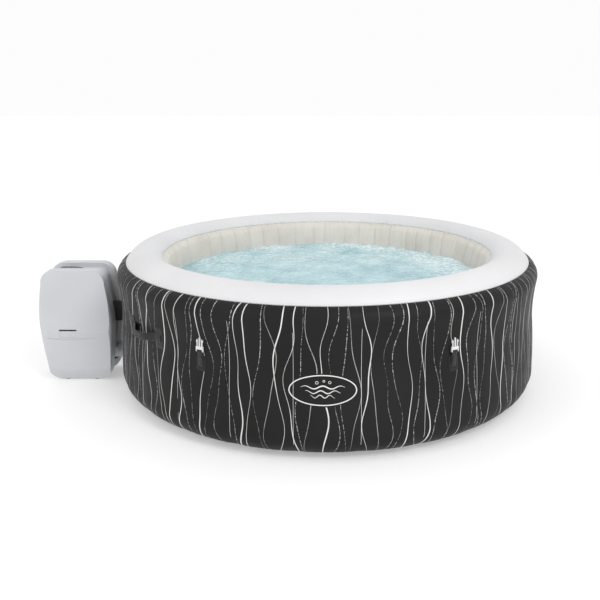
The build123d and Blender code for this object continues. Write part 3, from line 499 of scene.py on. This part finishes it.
BLACK_VINYL = surface("wall_vinyl", 0.0095, 0.0150, 0.5, Specular_IOR_Level=0.14)
WHITE_VINYL = surface("panel_vinyl", (0.63, 0.63, 0.64), (0.69, 0.69, 0.70), 0.46, 500, 0.00006)
LINER_VINYL = surface("liner_vinyl", (0.60, 0.565, 0.51), (0.70, 0.665, 0.61), 0.5, 650, 0.0001, 6)
BASE_VINYL = surface("base_vinyl", 0.016, 0.028, 0.6)
PATCH_VINYL = surface("patch_vinyl", 0.006, 0.012, 0.42, 700, 0.00012, Specular_IOR_Level=0.3)
PRINTS = [
    print_material("print_bright", (0.62, 0.61, 0.59), (0.80, 0.79, 0.77), 0.0),
    print_material("print_soft", (0.30, 0.30, 0.29), (0.48, 0.47, 0.46), 0.36),
    print_material("print_sparkle", (0.42, 0.42, 0.41), (0.66, 0.65, 0.64), 0.50),
]
BADGE_WHITE = print_material("badge_print", (0.72, 0.71, 0.70), (0.80, 0.79, 0.78), 0.0)
WEBBING = webbing_material("webbing", 0.006, 0.024)
STITCH = surface("stitch_thread", 0.02, 0.05, 0.7)
WATER = water_material()
SLOT_LOOK = {
    "casing_plastic": surface("casing", (0.515, 0.525, 0.545), (0.56, 0.57, 0.59), 0.42, 1100, 0.00005, 4),
    "fitting_plastic": surface("fitting", (0.44, 0.45, 0.47), (0.50, 0.51, 0.53), 0.42),
    "black_rubber": surface("rubber", 0.012, 0.024, 0.62, 700, 0.0001),
    "white_plastic": surface("white_plastic", 0.76, 0.82, 0.32),
    "black_plastic": surface("black_plastic", 0.014, 0.026, 0.4, 800, 0.00008),
    "screw_steel": brushed("screw_steel", 0.5, 0.68, 0.32),
    "lens_plastic": surface("lens", (0.006, 0.007, 0.009), (0.012, 0.013, 0.016), 0.1, 1200, 0.00001, 3, 0.02,
                            Coat_Weight=0.6),
    "board": surface("board", (0.02, 0.16, 0.05), (0.03, 0.22, 0.08), 0.35),
    "pipe_plastic": surface("pipe", (0.24, 0.25, 0.27), (0.30, 0.31, 0.33), 0.4),
    "motor_metal": brushed("motor_metal", 0.42, 0.55, 0.42, (60, 1, 1)),
    "heater_steel": brushed("heater_steel", 0.52, 0.68, 0.28),
    "nut_plastic": surface("nut", (0.56, 0.565, 0.575), (0.64, 0.645, 0.655), 0.4, 900, 0.00008),
    "buckle_plastic": surface("buckle", (0.62, 0.62, 0.63), (0.72, 0.72, 0.73), 0.3, 1000, 0.00005, 30),
    "button_plastic": surface("button", 0.035, 0.06, 0.35),
    "clear_tube": surface("air_tube", (0.62, 0.64, 0.65), (0.72, 0.74, 0.75), 0.25),
    "strap_vinyl": surface("strap_vinyl", 0.7, 0.8, 0.5),
    "filter_paper": surface("filter_paper", (0.72, 0.75, 0.78), (0.82, 0.84, 0.86), 0.85, 400, 0.0004),
    "liner_vinyl": LINER_VINYL,
    "base_vinyl": BASE_VINYL,
    "printed_vinyl": BLACK_VINYL,
    "white_vinyl": WHITE_VINYL,
    "webbing": WEBBING,
    "patch_vinyl": PATCH_VINYL,
}
SMOOTH_ANGLE = math.radians(32)
for sub in frame["record"]["subparts"]:
    carried = NODES[sub["node"]]
    carried.data.materials.clear()
    carried.data.materials.append(SLOT_LOOK[sub["material_slot"]])
    carried.data.polygons.foreach_set("use_smooth", [True] * len(carried.data.polygons))
    carried.data.set_sharp_from_angle(angle=SMOOTH_ANGLE)

# ------------------------------------------------------------------ the inflated skins
wall = skin_piece("wall_skin", OUTER, 720, BLACK_VINYL, "printed_vinyl")
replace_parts(wall, "outer_wall")
panel = skin_piece("panel_skin", TOP, 1440, WHITE_VINYL, "white_vinyl")
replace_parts(panel, "top_panel")
liner = skin_piece("liner_skin", INNER, 1560, LINER_VINYL, "liner_vinyl")
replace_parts(liner, "inner_wall")


def floor_waves(x, y):
    """Height of the slack floor liner, level at its edge."""
    return 0.0018 * noise.noise(Vector((x * 9, y * 9, 1.0))) * smooth((FLOOR_R - math.hypot(x, y)) / 0.08)


floor_skin = disc_piece("floor_skin", 0.0038, FLOOR_R - 0.0005, 40, 160, floor_waves, 0.0016, LINER_VINYL,
                        "liner_vinyl")
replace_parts(floor_skin, "floor_liner")


def level(_x, _y):
    """Height of a sheet that lies flat."""
    return 0.0


base_skin = disc_piece("base_skin", 0.0018, BASE_R - 0.0005, 12, 160, level, 0.0017, BASE_VINYL,
                       "base_vinyl")
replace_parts(base_skin, "base_sheet")


# ------------------------------------------------------------------ the weld between wall and panel
def ring_bead(name, profile, s, width, height, segments, material, slot):
    """A low flat-topped welded band round a skin."""
    strips, sections = Strips(), []
    for j in range(segments):
        angle = j * math.tau / segments
        sections.append([
            on_skin(profile, angle, s - width / 2, 0.0001),
            on_skin(profile, angle, s - width / 2 + 0.0008, height),
            on_skin(profile, angle, s + width / 2 - 0.0008, height),
            on_skin(profile, angle, s + width / 2, 0.0001),
        ])
    strips.add(sections, closed=True)
    return strips.piece(name, material, slot=slot)


ring_bead("panel_weld", TOP, 0.0055, 0.008, 0.0009, 720, WHITE_VINYL, "white_vinyl")
ring_bead("liner_weld", TOP, TOP.length - 0.006, 0.008, 0.0009, 1440, WHITE_VINYL, "white_vinyl")

# ------------------------------------------------------------------ printed lines and the badge
BADGE_ANGLE = math.radians(269.0)
BADGE_Z = 0.293
BADGE_HALF_W = 0.126
BADGE_HALF_H = 0.0575
BADGE_S = OUTER.s_of_z(BADGE_Z)
BADGE_R = OUTER.at(BADGE_S)[0][0]
OVAL_POINTS = 120
WAVE_STEPS = 60
LINES = 150
LINE_STEPS = 84


def in_badge(angle, s, grow=1.0):
    """Whether a place on the wall is inside the badge's oval."""
    u = ((angle - BADGE_ANGLE + math.pi) % math.tau - math.pi) * BADGE_R
    return (u / BADGE_HALF_W / grow) ** 2 + ((s - BADGE_S) / BADGE_HALF_H / grow) ** 2 < 1


def printed_line(strips, k):
    """One line of the print: a slow wander in step with its neighbour, swelling and thinning as it goes."""
    base = (k + random.uniform(-0.22, 0.22)) * math.tau / LINES
    kind = random.choices((0, 1, 2), (0.36, 0.32, 0.32))[0]
    width = (0.0042, 0.0027, 0.0027)[kind] * random.uniform(0.8, 1.2)
    period = random.uniform(0.42, 0.62)
    phase = (0.5 if k % 2 else 0.0) + random.uniform(-0.13, 0.13) + 0.9 * math.sin(k * 0.37)
    reach = random.uniform(0.011, 0.023)
    second = random.uniform(0.002, 0.007)
    swell = random.uniform(0, math.tau)
    track = []
    low, high = 0.012, OUTER.length - 0.0015
    for i in range(LINE_STEPS + 1):
        s = low + (high - low) * i / LINE_STEPS
        r = OUTER.at(s)[0][0]
        wander = reach * math.sin(math.tau * (s / period + phase))
        wander += second * math.sin(math.tau * (s / period * 2.3 + phase * 3))
        angle = base + wander / r
        w = width * (0.72 + 0.42 * math.sin(swell + 9.0 * s))
        if in_badge(angle, s, 1.02):
            if len(track) > 2:
                wall_strip(strips, track, kind)
            track = []
        else:
            track.append((angle, s, w))
    if len(track) > 2:
        wall_strip(strips, track, kind)


print_strips = Strips()
for k in range(LINES):
    printed_line(print_strips, k)
print_strips.piece("wall_print", PRINTS, slot="printed_vinyl")


def badge_track(path, width):
    """Places on the wall for a path given in metres from the badge's middle."""
    return [(BADGE_ANGLE + x / BADGE_R, BADGE_S + y, width) for x, y in path]


badge = Strips()
OVAL = [
    (math.cos(math.tau * k / OVAL_POINTS), math.sin(math.tau * k / OVAL_POINTS)) for k in range(OVAL_POINTS)
]
wall_strip(badge, badge_track([(BADGE_HALF_W * x, BADGE_HALF_H * y) for x, y in OVAL], 0.0042), closed=True)
for row, (half, drop) in enumerate(((0.082, 0.012), (0.066, -0.006), (0.046, -0.023))):
    waves = [
        (
            half * (2 * k / WAVE_STEPS - 1),
            drop + 0.0055 * math.sin(math.tau * 2.5 * (k / WAVE_STEPS) + row * 0.9),
        )
        for k in range(WAVE_STEPS + 1)
    ]
    track = badge_track(waves, 0.005 - 0.0009 * row)
    track = [
        (a, s, w * (0.25 + 0.75 * math.sin(math.pi * k / WAVE_STEPS))) for k, (a, s, w) in enumerate(track)
    ]
    wall_strip(badge, track)
for x, y, r in ((-0.022, 0.030, 0.0052), (0.004, 0.036, 0.0036), (0.026, 0.031, 0.0046)):
    wall_strip(badge, badge_track([(x + r * a, y + r * b) for a, b in OVAL[::5]], 0.0018), closed=True)
badge.piece("wall_badge", BADGE_WHITE, slot="printed_vinyl")


# ------------------------------------------------------------------ welded patches, handles, straps
PATCH_POINTS = 96
PATCH_ROUNDING = 5.0
PATCH_RINGS = [
    (0.0, 0.9), (0.35, 1.0), (0.7, 0.95), (0.86, 1.0),
    (0.885, 0.55), (0.96, 0.6), (0.99, 0.4), (1.0, 0.02),
]


def patch(strips_points, strips_faces, angle, z, width, height, thick):
    """A rounded patch on the wall: a flat middle, a welded rim that falls to the wall, and a closed back."""
    start = len(strips_points)
    count, rings = PATCH_POINTS, PATCH_RINGS
    s0, r0 = OUTER.s_of_z(z), OUTER.at(OUTER.s_of_z(z))[0][0]
    outline = []
    for k in range(count):
        a = math.tau * k / count
        c, d = math.cos(a), math.sin(a)
        scale = (abs(c) ** PATCH_ROUNDING + abs(d) ** PATCH_ROUNDING) ** (-1 / PATCH_ROUNDING)
        outline.append((c * scale * width / 2, d * scale * height / 2))
    for grow, lift in rings[1:]:
        for x, y in outline:
            strips_points.append(on_skin(OUTER, angle + x * grow / r0, s0 + y * grow, thick * lift + 0.0005))
    strips_points.append(on_skin(OUTER, angle, s0, thick * rings[0][1] + 0.0005))
    strips_points.append(on_skin(OUTER, angle, s0, 0.0))
    top, back = len(strips_points) - 2, len(strips_points) - 1
    for ring in range(len(rings) - 2):
        for k in range(count):
            n = (k + 1) % count
            a, b = start + ring * count + k, start + ring * count + n
            strips_faces.append((a, a + count, b + count, b))
    last = start + (len(rings) - 2) * count
    for k in range(count):
        n = (k + 1) % count
        strips_faces.append((top, start + k, start + n))
        strips_faces.append((last + n, last + k, back))


def patches_piece(name, spots, width, height, z, thick=0.0016):
    """Patches of one size at several angles, given in degrees, as one mesh."""
    points, faces = [], []
    for degrees in spots:
        patch(points, faces, math.radians(degrees), z, width, height, thick)
    return new_piece(name, points, faces, PATCH_VINYL, slot="patch_vinyl")


HANDLE_ANGLES = [39, 219]
HANDLE_HALF = 7.75
HANDLE_Z = 0.405
PATCH_OFF = 7.15
BUCKLE_ANGLES = [60, 120, 240, 300]
BUCKLE_R = 0.973
BUCKLE_Z = 0.402
handle_spots = [a + side * PATCH_OFF for a in HANDLE_ANGLES for side in (-1, 1)]
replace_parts(patches_piece("handle_welds", handle_spots, 0.052, 0.088, HANDLE_Z), "handle_patches")
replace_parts(patches_piece("buckle_welds", BUCKLE_ANGLES, 0.046, 0.064, 0.352), "buckle_patches")


def add_tape(strips, centres, half_widths, normals, thick, columns=6, curl=0.0):
    """A tape as a closed shell with several columns across, curled towards its back at the edges."""
    start, rows = len(strips.points), len(centres)
    for side in (0.5, -0.5):
        run = 0.0
        for k in range(rows):
            if k:
                run += (centres[k] - centres[k - 1]).length
            for c in range(columns + 1):
                t = 2 * c / columns - 1
                rim = 0.35 if abs(t) > 0.999 else 1.0
                place = centres[k] + half_widths[k] * t + normals[k] * (side * thick * rim - curl * t * t)
                strips.points.append(tuple(place))
                strips.uvs.append((t * half_widths[k].length, run))
    wide = columns + 1
    layer = rows * wide
    for k in range(rows - 1):
        for c in range(columns):
            a = start + k * wide + c
            strips.faces.append((a, a + 1, a + wide + 1, a + wide))
            b = a + layer
            strips.faces.append((b + wide, b + wide + 1, b + 1, b))
    for k in range(rows - 1):
        for c, flip in ((0, False), (columns, True)):
            a = start + k * wide + c
            face = (a, a + wide, a + wide + layer, a + layer)
            strips.faces.append(face[::-1] if flip else face)
    for c in range(columns):
        a = start + c
        strips.faces.append((a + layer, a + 1 + layer, a + 1, a))
        b = start + (rows - 1) * wide + c
        strips.faces.append((b, b + 1, b + 1 + layer, b + layer))
    strips.indices += [0] * (len(strips.faces) - len(strips.indices))


def carry_handle(name, degrees, cad):
    """A webbing handle: sewn ends flat on their patches and a slack middle that stands off and droops."""
    strips = Strips()
    centres, halves, normals = [], [], []
    rows = 72
    for k in range(rows + 1):
        t = 2 * k / rows - 1
        local = t * HANDLE_HALF
        free = max(0.0, 1 - abs(local) / (HANDLE_HALF - 1.9))
        hump = smooth(free * 1.25)
        angle = math.radians(degrees + local)
        stand = 0.0036 + 0.0275 * hump
        z = HANDLE_Z - 0.009 * hump
        r = OUTER.at(OUTER.s_of_z(z))[0][0] + stand
        roll = 0.22 * math.sin(math.pi * t) * hump
        out = Vector((math.cos(angle), math.sin(angle), 0))
        centres.append(out * r + Vector((0, 0, z)))
        up = Vector((0, 0, math.cos(roll))) + out * math.sin(roll)
        halves.append(up * (0.0185 - 0.0035 * hump))
        normals.append((out * math.cos(roll) - Vector((0, 0, math.sin(roll)))))
    # The tape's normal follows its run as well as its roll.
    for k in range(rows + 1):
        ahead = centres[min(rows, k + 1)] - centres[max(0, k - 1)]
        normals[k] = halves[k].cross(ahead).normalized()
        if normals[k].dot(centres[k]) < 0:
            normals[k].negate()
    add_tape(strips, centres, halves, normals, 0.0026, 8, 0.0012)
    piece = strips.piece(name, WEBBING, slot="webbing")
    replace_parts(piece, cad)
    return piece


for number, degrees in enumerate(HANDLE_ANGLES, 1):
    carry_handle(f"handle_webbing_{number}", degrees, f"carry_handle_{number}")

STITCH_R = 0.966
stitches = Strips()


def stitch_run(a, b, lift):
    """Short threads end to end between two (angle, s) places on the wall."""
    r = OUTER.at(a[1])[0][0]
    length = math.hypot((b[0] - a[0]) * r, b[1] - a[1])
    count = max(1, round(length / 0.0045))
    for k in range(count):
        track = []
        for t in ((k + 0.12) / count, (k + 0.5) / count, (k + 0.88) / count):
            track.append((a[0] + (b[0] - a[0]) * t, a[1] + (b[1] - a[1]) * t, 0.0007))
        wall_strip(stitches, track, lift=lift, thick=0.0004)


for degrees in handle_spots:
    a, s, r = math.radians(degrees), OUTER.s_of_z(HANDLE_Z), STITCH_R
    for x0, y0, x1, y1 in ((-8, -16, -8, 16), (8, -16, 8, 16), (-8, -16, 8, 16), (-8, 16, 8, -16)):
        stitch_run((a + x0 / 1000 / r, s + y0 / 1000), (a + x1 / 1000 / r, s + y1 / 1000), 0.0051)
stitches.piece("handle_stitches", STITCH, slot="webbing")

loops = Strips()
for degrees in BUCKLE_ANGLES:
    a = math.radians(degrees)
    out, side = Vector((math.cos(a), math.sin(a), 0)), Vector((-math.sin(a), math.cos(a), 0))
    wall_r = {z: OUTER.at(OUTER.s_of_z(z))[0][0] for z in (0.340, 0.352, 0.364, 0.376, 0.388)}
    path = [(wall_r[0.340] + 0.0026, 0.340), (wall_r[0.352] + 0.0026, 0.352), (wall_r[0.364] + 0.0026, 0.364),
            (wall_r[0.376] + 0.0026, 0.376), (wall_r[0.388] + 0.0034, 0.388)]
    bend = 0.0031
    for k in range(13):
        turn = math.radians(200 - 220 * k / 12)
        path.append((BUCKLE_R + bend * math.cos(turn), BUCKLE_Z + bend * math.sin(turn)))
    path += [(wall_r[0.388] + 0.0052, 0.388), (wall_r[0.376] + 0.0040, 0.376),
             (wall_r[0.364] + 0.0040, 0.364), (wall_r[0.352] + 0.0040, 0.350)]
    centres = [out * r + Vector((0, 0, z)) for r, z in path]
    normals = []
    for k in range(len(centres)):
        ahead = centres[min(len(centres) - 1, k + 1)] - centres[max(0, k - 1)]
        normals.append(ahead.cross(side).normalized())
    add_tape(loops, centres, [side * 0.0120] * len(centres), normals, 0.0011, 4)
loop_piece = loops.piece("buckle_loops", WEBBING, slot="webbing")
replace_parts(loop_piece, "buckle_straps")


# ------------------------------------------------------------------ the water
def churn(x, y):
    """Height of the churned surface, rougher over the bubble ring."""
    rough = 0.45 + 0.75 * smooth((math.hypot(x, y) - 0.30) / 0.40)
    broad = noise.noise(Vector((x * 7, y * 7, 0.3))) * 0.0045
    middle = noise.noise(Vector((x * 21, y * 21, 1.3))) * 0.0045
    fine = noise.noise(Vector((x * 55, y * 55, 2.3))) * 0.0030
    spit = noise.noise(Vector((x * 110, y * 110, 3.3))) * 0.0016
    return (broad + middle + fine + spit) * rough


WATER_R = 0.7445
WATER_THICK = 0.03
water = disc_piece("water", WATER_Z, WATER_R, 170, 640, churn, WATER_THICK, WATER, None)
foam = water.data.attributes.new("foam", "FLOAT", "POINT")
for vertex in water.data.vertices:
    x, y, z = vertex.co
    edge = smooth((math.hypot(x, y) - 0.42) / 0.30)
    back = smooth((y + 0.15) / 0.8)
    right = smooth((x + 0.2) / 0.9)
    cloud = 0.5 + noise.noise(Vector((x * 5, y * 5, 8.0)))
    froth = 0.15 + 0.6 * edge * cloud + 0.6 * back * cloud + 0.3 * right * edge
    foam.data[vertex.index].value = min(1.0, max(0.05, froth))

# ------------------------------------------------------------------ the control panel's digits
lens_lo, lens_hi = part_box("control_lens")
digits = Strips()
SEGMENTS = {
    "a": ((0, 2), (1, 2)), "b": ((1, 2), (1, 1)), "c": ((1, 1), (1, 0)), "d": ((0, 0), (1, 0)),
    "e": ((0, 1), (0, 0)), "f": ((0, 2), (0, 1)), "g": ((0, 1), (1, 1)),
}
DIGITS = {"3": "abgcd", "8": "abcdefg"}
DIGIT_W = 0.0065
lens_mid = (lens_lo + lens_hi) / 2
for place, digit in ((-1, "3"), (1, "8")):
    for letter in DIGITS[digit]:
        (x0, y0), (x1, y1) = SEGMENTS[letter]
        # Read from the front of the tub: the digits' tops point away along +Y.
        a, b = (
            Vector((
                lens_mid.x + place * DIGIT_W + (x - 0.5) * DIGIT_W,
                lens_mid.y + (y - 1) * DIGIT_W,
                lens_hi.z,
            ))
            for x, y in ((x0, y0), (x1, y1))
        )
        along = (b - a).normalized()
        a, b = a + along * 0.0007, b - along * 0.0007
        wide = along.cross(Vector((0, 0, 1))) * 0.0006
        rise = Vector((0, 0, 0.00025))
        digits.add([
            [tuple(p - wide), tuple(p - wide + rise), tuple(p + wide + rise), tuple(p + wide)] for p in (a, b)
        ])
digits.piece("lens_digits", SLOT_LOOK["white_plastic"], body="pump_unit", slot="lens_plastic")

# ------------------------------------------------------------------ rounded edges on the carried-over plastic
for name, width in (
    ("side_shell_near", 0.0012), ("side_shell_far", 0.0012), ("centre_shell", 0.0008),
    ("cover_buckle_1", 0.0007), ("cover_buckle_2", 0.0007),
    ("cover_buckle_3", 0.0007), ("cover_buckle_4", 0.0007),
    ("union_nut_near", 0.0007), ("union_nut_far", 0.0007), ("air_valve_cap", 0.0007), ("drain_cap", 0.0007),
):
    rounding = NODES[name].modifiers.new("edges", "BEVEL")
    rounding.width = width
    rounding.segments = 2
    rounding.limit_method = "ANGLE"
    rounding.angle_limit = math.radians(40)
    rounding.use_clamp_overlap = True
    rounding.harden_normals = False

# ------------------------------------------------------------------ studio
FLOOR_HALF = 30.0
FLOOR_Z = -0.0005
FLOOR_CORNERS = [(FLOOR_HALF * x, FLOOR_HALF * y, FLOOR_Z) for x, y in ((-1, -1), (1, -1), (1, 1), (-1, 1))]
floor_mesh = bpy.data.meshes.new("studio_floor")
floor_mesh.from_pydata(FLOOR_CORNERS, [], [(0, 1, 2, 3)])
floor = bpy.data.objects.new("studio_floor", floor_mesh)
bpy.context.scene.collection.objects.link(floor)
floor_look, _, floor_bsdf = shader("studio_floor", 0.9, Specular_IOR_Level=0.0)
floor_bsdf.inputs["Base Color"].default_value = (0.72, 0.72, 0.72, 1)
floor_bsdf.inputs["Emission Color"].default_value = (1, 1, 1, 1)
floor_bsdf.inputs["Emission Strength"].default_value = 0.30
floor_mesh.materials.append(floor_look)

world = bpy.data.worlds.new("studio")
world.use_nodes = True
world.node_tree.nodes["Background"].inputs["Color"].default_value = (1, 1, 1, 1)
world.node_tree.nodes["Background"].inputs["Strength"].default_value = 0.98
bpy.context.scene.world = world


def area_light(name, place, target, size, power):
    """A round soft light aimed at a point."""
    light = bpy.data.lights.new(name, "AREA")
    light.shape = "DISK"
    light.size = size
    light.energy = power
    made = bpy.data.objects.new(name, light)
    made.location = place
    made.rotation_euler = (Vector(target) - Vector(place)).to_track_quat("-Z", "Y").to_euler()
    bpy.context.scene.collection.objects.link(made)


area_light("key", (2.6, -4.2, 4.6), (0, 0, 0.4), 2.2, 90)
area_light("fill", (-3.5, -3.0, 3.0), (-0.5, 0, 0.4), 2.5, 18)
area_light("side", (1.5, -5.0, 1.2), (-1.1, 0, 0.3), 1.6, 12)

camera_data = bpy.data.cameras.new("camera")
camera_data.lens = 46.75
camera_data.sensor_width = 36.0
camera_data.shift_x = -0.0455
camera_data.clip_end = 200.0
camera = bpy.data.objects.new("camera", camera_data)
camera.location = (0.0, -3.6504, 1.392)
camera.rotation_euler = (math.radians(90 - 15.67), 0, 0)
bpy.context.scene.collection.objects.link(camera)
bpy.context.scene.camera = camera
bpy.context.scene.view_settings.view_transform = "Standard"
